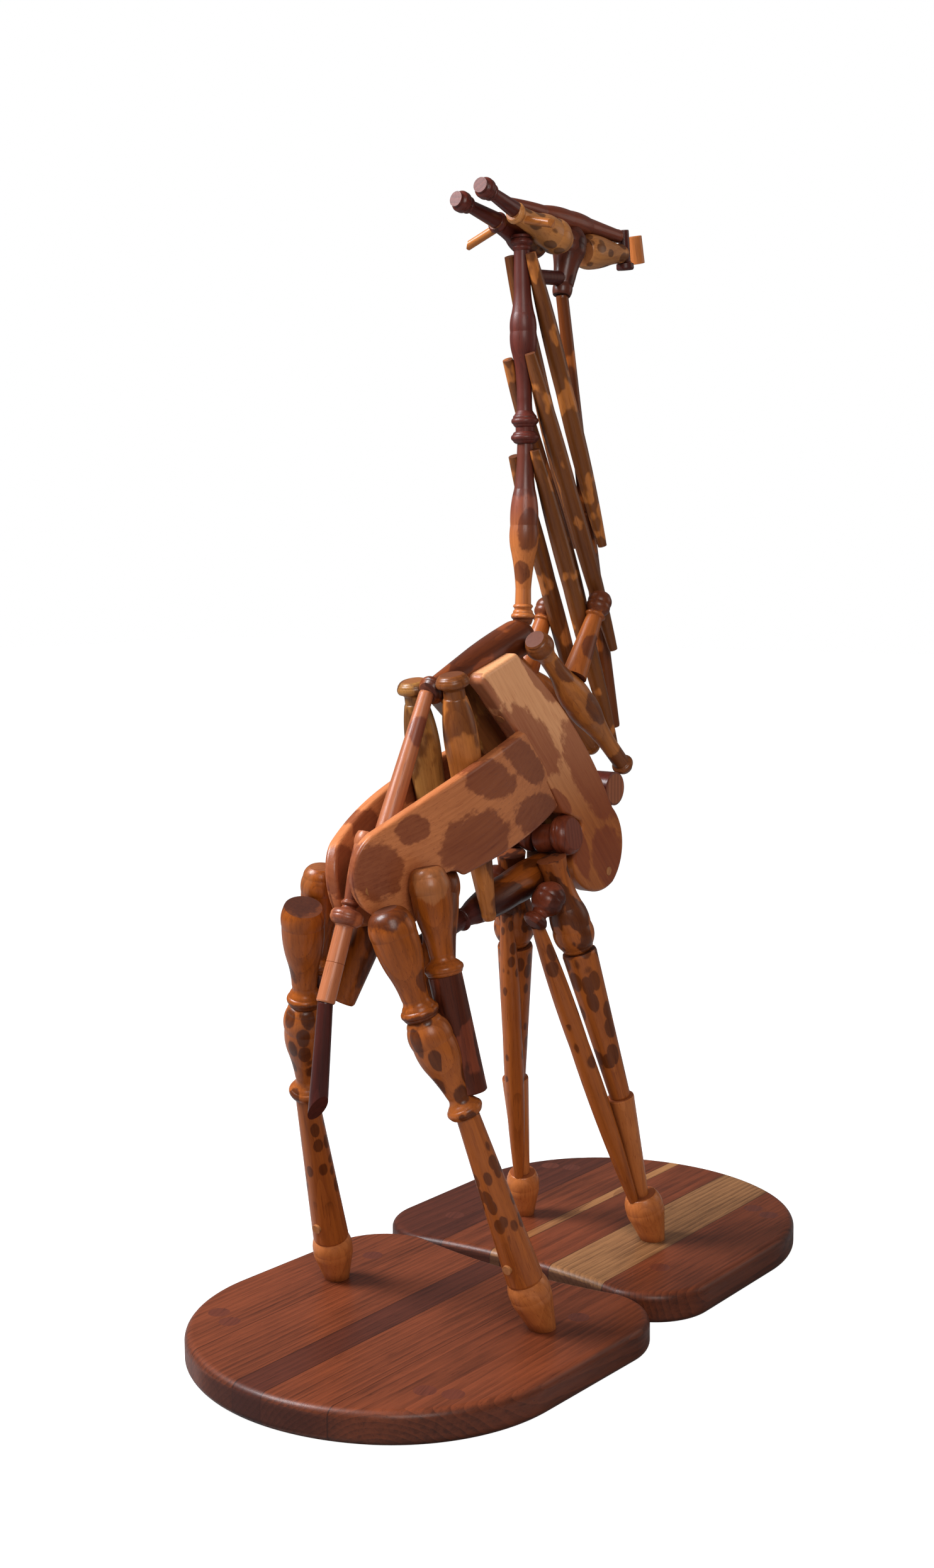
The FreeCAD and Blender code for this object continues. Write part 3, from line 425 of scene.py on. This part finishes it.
def finish(name, wood, seed, stains=(), spots=None, blotch=None, fade=None, mark=STAIN,
           depth=0.85, rough=0.26, coat=0.10, figure=0.13, planks=None, axis=None,
           far_wood=None, lower=None, end_tone=None, rim=0.0):
    """Gives a CAD node a procedural wood of its own: grain, stain, painted shade, sheen, relief.

    stains are its ovals, spots is (pitch, size, cover) and blotch is (pitch, level). mark is
    the stain's tone and depth its strength. fade is the heights between which the stain comes
    in. figure is the rings' strength, rough the roughness and coat the varnish. far_wood is the
    left piece's wood, and lower is (low, high, wood) for a piece that turns to another wood
    downwards. end_tone is for its sawn ends, and rim is painted shade on the sides of a board."""
    material, surface, weave = new_material(f"wood_{name}")
    middle, axes = grain_axes(name, axis)
    angles = axes.to_euler("XYZ")
    place = weave.object_place()
    _, left, height = weave.coordinates(place)
    local = weave.turned(weave.vector("SUBTRACT", place, tuple(middle)), angles)
    heart = weave.vector("ADD", local, heart_offset(seed))

    pale, dark, end = WOODS[wood]
    tones = wood_tones(weave, left, height, wood, far_wood, lower)
    if planks:
        shift, seams, *tones = plank_tones(weave, left, planks, pale, dark)
        heart = weave.vector("ADD", shift, heart)

    rings = ring_waves(weave, heart)
    streak = weave.noise(heart, *STREAKS)
    cloud = weave.noise(heart, *CLOUDS)
    pore = weave.step(weave.noise(heart, *PORES), *PORE_RANGE)
    shares = [weave.scaled(rings, figure), weave.scaled(streak, STREAK_SHARE),
              weave.scaled(cloud, CLOUD_SHARE)]
    grain = weave.step(weave.fold("ADD", shares), *GRAIN_RANGE)
    colour = weave.mix(grain, *tones)
    if planks:
        colour = weave.darken(weave.scaled(seams, SEAM_SHADE), colour, dark)
    colour = weave.darken(weave.scaled(pore, PORE_SHADE), colour, dark)

    normal = weave.add("ShaderNodeNewGeometry", {}).outputs["Normal"]
    sawn = sawn_faces(weave, normal, tuple(axes[2]))
    end_grain = weave.mix(weave.scaled(rings, END_RING_SHADE), end_tone or end, dark)
    colour = weave.mix(weave.scaled(sawn, SAWN_SHADE), colour, end_grain)

    noise = weave.math("SUBTRACT", weave.noise(local, *RAGGED_EDGES), 0.5)
    ragged = weave.scaled(noise, RAGGED_REACH)
    mask = stain_mask(weave, name, place, heart, angles, ragged, stains, spots, blotch)
    if mask is not None:
        if fade:
            low, high = fade
            mask = weave.scaled(mask, weave.step(height, low * MM, high * MM))
        under = stained(weave, colour, grain, mark, dark)
        colour = weave.mix(weave.scaled(mask, depth), colour, under)

    # Painted shade: the sides of a board are darkened against its top and bottom.
    if rim:
        upward = weave.math("ABSOLUTE", weave.coordinates(normal)[2])
        side = weave.step(upward, *SIDE_SHADE_FACING)
        colour = weave.darken(weave.scaled(side, rim), colour, dark)
    # Painted shade: the colour is darkened deep in hollows and joints, where less light reaches.
    hollow_shade_mask = painted_hollow_shade(weave)
    colour = weave.darken(weave.scaled(hollow_shade_mask, HOLLOW_SHADE_DEPTH), colour, dark)

    roughness = weave.fold("ADD", [rough, weave.scaled(streak, STREAK_ROUGHNESS),
                                   weave.scaled(sawn, SAWN_ROUGHNESS),
                                   weave.scaled(hollow_shade_mask, HOLLOW_ROUGHNESS)])
    relief = weave.math("SUBTRACT", weave.scaled(rings, RING_RELIEF), pore)
    relief = weave.math("ADD", relief, weave.scaled(streak, STREAK_RELIEF))
    bump = weave.bump(relief, RELIEF_STRENGTH, RELIEF_HEIGHT)
    weave.feed(surface.inputs["Base Color"], colour)
    weave.feed(surface.inputs["Roughness"], roughness)
    weave.feed(surface.inputs["Normal"], bump)
    surface.inputs["Coat Weight"].default_value = coat
    surface.inputs["Coat Roughness"].default_value = COAT_ROUGHNESS
    surface.inputs["Specular IOR Level"].default_value = SPECULAR_LEVEL
    give(name, material)


# ---------------------------------------------------------------- where the stains are

# On the boards: x, z, half length, half width and slope. On the turned pieces: x, y, z, half
# length and half width.
STAINS = {
    "right_flank_board": [(-299, 566, 36, 30, -31), (-254, 607, 24, 16, 1),
                          (-151, 580, 66, 34, 2), (-126, 649, 52, 21, -11),
                          (-45, 662, 60, 20, -26), (-17, 598, 62, 23, -3)],
    "left_flank_board": [(-280, 556, 36, 30, -20), (-226, 600, 30, 18, 8),
                         (-130, 572, 60, 32, 4), (-110, 640, 50, 21, 12),
                         (-30, 652, 55, 20, 20), (-10, 592, 56, 22, 3)],
    "right_shoulder_board": [(-102, 748, 40, 9, -37), (2, 757, 51, 13, -40),
                             (-11, 683, 68, 26, -35), (111, 635, 85, 33, -48),
                             (44, 604, 28, 12, -30), (90, 539, 40, 16, -66),
                             (152, 524, 44, 32, -55)],
    "left_shoulder_board": [(-90, 740, 44, 14, -37), (10, 740, 48, 18, -40),
                            (-6, 672, 60, 26, -35), (100, 640, 76, 30, -48),
                            (84, 545, 40, 18, -60), (146, 520, 44, 30, -55)],
    "neck_post_lower": [(26, 0, 1004, 42, 40), (17, -12, 927, 26, 13), (12, -3, 878, 14, 10),
                        (20, 0, 818, 9, 30), (32, 12, 900, 24, 12)],
    "breast_spindles": [(-12, -41, 799, 20, 40), (33, -52, 764, 22, 12), (97, -52, 713, 30, 12),
                        (184, -31, 643, 24, 40), (38, 39, 783, 20, 40), (120, 46, 722, 34, 14)],
    "breast_finials": [(127, -40, 845, 24, 40), (88, -52, 788, 18, 12), (127, 40, 845, 24, 40)],
    "ribs": [(-157, -30, 762, 24, 26), (-146, -44, 716, 22, 9), (-106, -42, 560, 30, 9)],
    "rump_rod": [(-246, -8, 584, 34, 15), (-186, -8, 704, 18, 14)],
    "right_thigh": [(-318, -62, 534, 26, 30), (-286, -96, 452, 16, 12), (-277, -80, 410, 9, 40)],
    "left_thigh": [(-316, 54, 536, 22, 32), (-300, 74, 452, 22, 14), (-285, 80, 404, 9, 40)],
    "right_haunch": [(-262, -82, 556, 24, 22)],
    "left_haunch": [(-282, 82, 548, 24, 22)],
}


# ---------------------------------------------------------------- every piece's finish

HIND_PLANKS = [(-85, "seat"), (-6, "seat_dark"), (36, "seat"), (128, "seat")]
FRONT_PLANKS = [(-124, "seat_olive"), (-40, "seat"), (34, "seat_pale"), (49, "seat"),
                (120, "seat_dark")]
# rim puts painted shade on the sides of the seat boards.
SEAT = dict(wood="seat", axis=(1, 0, 0), figure=0.2, rough=0.36, coat=0.06, rim=0.35)
BODY_BOARD = dict(mark=PATCH, figure=0.1)
CROSSWISE = (0, 1, 0)


def both(part, right, left=None):
    """The finishes of a right and a left piece, which are the same unless left is given."""
    return {f"right_{part}": right, f"left_{part}": left or right}


FINISHES = {
    "hind_board": dict(SEAT, planks=HIND_PLANKS),
    "front_board": dict(SEAT, planks=FRONT_PLANKS),
    "board_plugs": dict(wood="plug", axis=(1, 0.3, 0)),
    "screw_plugs": dict(wood="pale"),
    "joint_dowels": dict(wood="pale"),
    **both("flank_board", dict(BODY_BOARD, wood="board")),
    # Right shoulder board: paler wood and stain at the top are painted light, the darker wood
    # downwards is painted shade.
    **both("shoulder_board", dict(BODY_BOARD, wood="board_lit", lower=(560, 720, "board_shaded"),
                                  mark=tone(138, 64, 40)), dict(BODY_BOARD, wood="olive")),
    "withers_spindle": dict(wood="withers", blotch=(42, 0.46), mark=tone(64, 24, 14)),
    "rump_rod": dict(wood="pinkish", mark=tone(116, 56, 48)),
    "belly_bar": dict(wood="amber", lower=(494, 510, "purple"), blotch=(34, 0.5)),
    "hip_spreader": dict(wood="amber", axis=CROSSWISE),
    "chest_bar": dict(wood="maroon", axis=CROSSWISE, end_tone=tone(176, 106, 72)),
    "chest_pegs": dict(wood="reddish", axis=CROSSWISE, end_tone=tone(122, 60, 42)),
    "tail_spindle": dict(wood="pinkish", blotch=(70, 0.6), mark=tone(112, 52, 38)),
    "tail_tip": dict(wood="purple"),
    "neck_post_upper": dict(wood="maroon", rough=0.38),
    "neck_post_lower": dict(wood="neck_red", lower=(900, 960, "honey"), mark=tone(84, 38, 32)),
    "upper_neck_rods": dict(wood="golden", blotch=(32, 0.42), mark=tone(58, 22, 12)),
    "middle_neck_rods": dict(wood="golden", blotch=(32, 0.40), mark=tone(62, 24, 14)),
    "lower_neck_rods": dict(wood="golden", blotch=(32, 0.42), mark=tone(56, 22, 12)),
    "throat_rods": dict(wood="orange", blotch=(34, 0.44), mark=tone(58, 22, 16)),
    "neck_cross_dowel": dict(wood="purple", axis=CROSSWISE),
    "head_post": dict(wood="seat_dark", spots=(15, 0.36, 0.4), end_tone=tone(96, 48, 24)),
    "cheeks": dict(wood="ochre", far_wood="maroon", spots=(15, 0.4, 0.7)),
    "horns": dict(wood="maroon", end_tone=tone(112, 58, 48)),
    "ears": dict(wood="golden", axis=(0, 1, -0.2)),
    "brow_spindle": dict(wood="reddish"),
    "jaw_spindle": dict(wood="ochre", spots=(15, 0.4, 0.8)),
    "nose_block": dict(wood="purple"),
    "nose_tip": dict(wood="honey"),
    "breast_spindles": dict(wood="golden", mark=tone(84, 36, 24), end_tone=tone(96, 46, 34)),
    "breast_finials": dict(wood="orange", mark=tone(84, 38, 32), end_tone=tone(92, 46, 34)),
    "ribs": dict(wood="golden", far_wood="olive", blotch=(40, 0.52), mark=tone(84, 38, 18)),
    "inner_thighs": dict(wood="amber", blotch=(46, 0.5), mark=tone(64, 26, 14)),
    "elbow_finials": dict(wood="reddish", blotch=(40, 0.5)),
    **both("haunch", dict(wood="amber", mark=tone(196, 128, 78)),
           dict(wood="amber", mark=tone(176, 108, 60))),
    **both("haunch_rod", dict(wood="reddish", blotch=(30, 0.5))),
    **both("thigh", dict(wood="amber", mark=tone(70, 28, 18)),
           dict(wood="amber", mark=tone(62, 24, 12), end_tone=tone(60, 26, 14))),
    **both("gaskin", dict(wood="orange", spots=(19, 0.44, 0.9), depth=0.95)),
    **both("shin", dict(wood="orange", spots=(13, 0.46, 0.62), fade=(140, 175)),
           dict(wood="orange", spots=(13, 0.46, 0.55), fade=(130, 170))),
    **both("hind_foot", dict(wood="honey")),
    **both("upper_arm", dict(wood="orange", blotch=(24, 0.52), depth=0.95)),
    **both("forearm", dict(wood="orange", spots=(17, 0.50, 0.75), fade=(235, 270)),
           dict(wood="orange", spots=(15, 0.44, 0.7), fade=(260, 300))),
    **both("cannon", dict(wood="honey")),
    **both("fore_foot", dict(wood="honey")),
    **both("elbow_rod", dict(wood="orange", spots=(16, 0.50, 0.72), fade=(235, 260)),
           dict(wood="orange", spots=(12, 0.42, 0.6), fade=(200, 240))),
}
SEED_STEP = 1.7

for number, (name, settings) in enumerate(FINISHES.items()):
    finish(name, seed=number * SEED_STEP, stains=STAINS.get(name, ()), **settings)


SPECKS = ((1.0, 1.0, 1.0), 900.0, 3.0, 0.55)
SPECK_ROUGHNESS = 0.2
SPECK_STRENGTH = 0.2
SPECK_HEIGHT = 0.2 * MM
STEEL_ROUGHNESS = 0.28


def metal(name):
    """Screw steel with a fine speckle in its tone, roughness and relief."""
    material, surface, weave = new_material(f"metal_{name}")
    speck = weave.noise(weave.object_place(), *SPECKS)
    roughness = weave.math("ADD", STEEL_ROUGHNESS, weave.scaled(speck, SPECK_ROUGHNESS))
    weave.feed(surface.inputs["Base Color"], weave.mix(speck, *STEEL))
    weave.feed(surface.inputs["Roughness"], roughness)
    weave.feed(surface.inputs["Normal"], weave.bump(speck, SPECK_STRENGTH, SPECK_HEIGHT))
    surface.inputs["Metallic"].default_value = 1.0
    give(name, material)


metal("frame_screws")


# ---------------------------------------------------------------- floor and surroundings

FLOOR_SIZE = 30.0
FLOOR_TONE = (0.34, 0.34, 0.34, 1.0)
FLOOR_ROUGHNESS = 0.8
FLOOR_GLOW = 0.95
WORLD_SEEN = 1.0
WORLD_LIGHT = 0.15


def make_floor():
    """A floor that looks pale to the camera, and sends little light back to the statue."""
    bpy.ops.mesh.primitive_plane_add(size=FLOOR_SIZE, location=(0.0, 0.0, 0.0))
    floor = bpy.context.object
    floor.name = "studio_floor"
    material, surface, weave = new_material("studio_floor")
    surface.inputs["Base Color"].default_value = FLOOR_TONE
    surface.inputs["Roughness"].default_value = FLOOR_ROUGHNESS
    surface.inputs["Emission Color"].default_value = WHITE
    seen = weave.add("ShaderNodeLightPath", {}).outputs["Is Camera Ray"]
    weave.feed(surface.inputs["Emission Strength"], weave.scaled(seen, FLOOR_GLOW))
    floor.data.materials.append(material)


def make_surroundings():
    """White surroundings that light the statue much less than they shine in the picture."""
    world = bpy.data.worlds.new("studio")
    world.use_nodes = True
    backdrop = world.node_tree.nodes["Background"]
    backdrop.inputs["Color"].default_value = WHITE
    weave = Weave(world.node_tree)
    seen = weave.add("ShaderNodeLightPath", {}).outputs["Is Camera Ray"]
    inputs = {"Value": seen, "To Min": WORLD_LIGHT, "To Max": WORLD_SEEN}
    strength = weave.add("ShaderNodeMapRange", inputs).outputs["Result"]
    weave.feed(backdrop.inputs["Strength"], strength)
    return world


# ---------------------------------------------------------------- light

STATUE_MIDDLE = Vector((0.0, 0.0, 0.65))

# Square lamps: place, side, watts and colour.
LAMPS = {
    "key_light": ((-1.5, 1.5, 2.7), 1.3, 165.0, (0.92, 0.95, 1.0)),
    "front_light": ((-2.3, -2.2, 2.2), 1.5, 60.0, (1.0, 0.98, 0.95)),
    "fill_light": ((2.4, -2.0, 1.6), 1.6, 9.0, (1.0, 0.95, 0.88)),
}


def make_lamp(name, place, side, power, colour):
    """A soft square lamp that looks at the middle of the statue."""
    light = bpy.data.lights.new(name, "AREA")
    light.shape = "RECTANGLE"
    light.size, light.size_y = side, side
    light.energy = power
    light.color = colour
    lamp = bpy.data.objects.new(name, light)
    lamp.location = place
    lamp.rotation_euler = (STATUE_MIDDLE - Vector(place)).to_track_quat("-Z", "Y").to_euler()
    bpy.context.scene.collection.objects.link(lamp)


# ---------------------------------------------------------------- camera

CAMERA_PLACE = (-1.8223, -1.3175, 0.8901)
CAMERA_YAW = math.radians(37.27)
CAMERA_PITCH = math.radians(-6.65)
CAMERA_ROLL = math.radians(-0.32)
CAMERA_LENS_MM = 43.69
CAMERA_SENSOR_MM = 36.0


def make_camera():
    data = bpy.data.cameras.new("photo_camera")
    data.sensor_width = CAMERA_SENSOR_MM
    data.lens = CAMERA_LENS_MM
    camera = bpy.data.objects.new("photo_camera", data)
    forward = Vector((math.cos(CAMERA_PITCH) * math.cos(CAMERA_YAW),
                      math.cos(CAMERA_PITCH) * math.sin(CAMERA_YAW), math.sin(CAMERA_PITCH)))
    aim = forward.to_track_quat("-Z", "Y").to_matrix().to_4x4()
    roll = Matrix.Rotation(CAMERA_ROLL, 4, "Z")
    camera.matrix_world = Matrix.Translation(CAMERA_PLACE) @ aim @ roll
    bpy.context.scene.collection.objects.link(camera)
    return camera


make_floor()
for name, settings in LAMPS.items():
    make_lamp(name, *settings)
scene = bpy.context.scene
scene.world = make_surroundings()
scene.view_settings.view_transform = "Standard"
scene.camera = make_camera()
